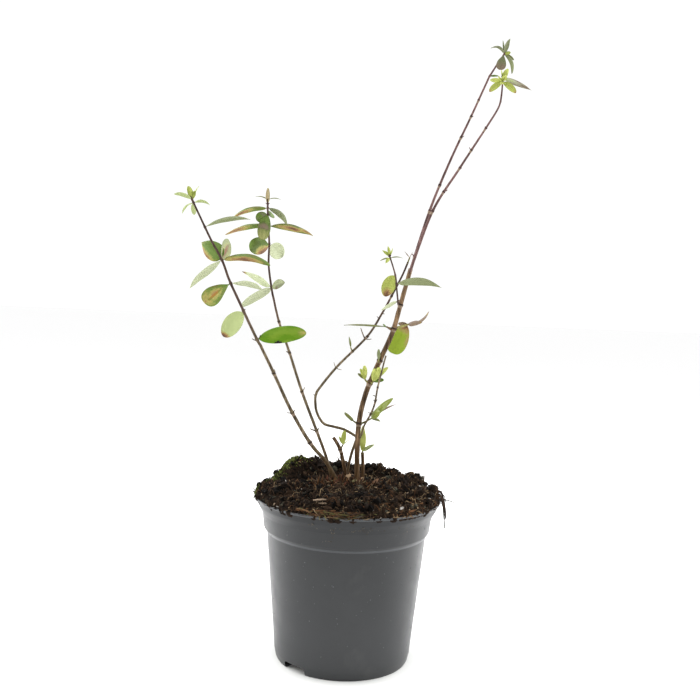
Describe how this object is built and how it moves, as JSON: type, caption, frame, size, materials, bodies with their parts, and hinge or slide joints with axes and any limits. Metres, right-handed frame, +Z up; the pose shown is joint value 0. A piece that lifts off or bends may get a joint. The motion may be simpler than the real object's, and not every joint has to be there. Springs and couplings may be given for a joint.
{
  "type": "potted hypericum",
  "caption": "Young sparse hypericum shrub: thin leaning stems with a few oval leaves and tip rosettes, in a round dark grey nursery pot of soil.",
  "frame": {"origin": "centre of the pot's flat underside", "axes": "+Z up along the pot's axis, +X to the right of the picture, -Y towards its viewer"},
  "size_m": [0.3002, 0.17, 0.5746],
  "materials": {
    "pot_plastic": "satin moulded dark grey plastic with scuffs and specks of dirt",
    "potting_soil": "rough dark potting soil with fibres, chips and a patch of moss",
    "bark": "dull red-brown bark with pale nodes",
    "young_bark": "smooth reddish young bark",
    "leaf_green": "soft satin leaf, paler below, with scorched brown patches",
    "leaf_pale": "soft satin young leaf, lime green"
  },
  "bodies": {
    "root": {"pot": "pot_plastic", "soil": "potting_soil", "outer_left_stem": "bark", "inner_left_stem": "bark", "middle_stub": "bark", "bowed_stem_foot": "bark", "main_stem": "bark", "right_stub": "bark", "bowed_stem_low": "young_bark", "bowed_stem_high": "young_bark", "back_whip": "young_bark", "front_whip": "young_bark", "right_side_stem": "young_bark", "outer_left_crown": "leaf_green", "inner_left_crown": "leaf_green", "back_tip_rosette": "leaf_green", "centre_shoot": "leaf_green", "main_leaf_right": "leaf_green", "main_leaf_left": "leaf_green", "upper_bud_sprout": "leaf_green", "middle_sprout_left": "leaf_green", "low_sprout_left": "leaf_green", "low_shoot_right": "leaf_green", "bowed_tip_leaf": "leaf_green", "bowed_bud_sprout": "leaf_green", "front_tip_rosette": "leaf_pale", "stub_sprout": "leaf_pale", "middle_sprout_right": "leaf_pale", "middle_stub_sprout": "leaf_pale"}
  },
  "joints": []
}
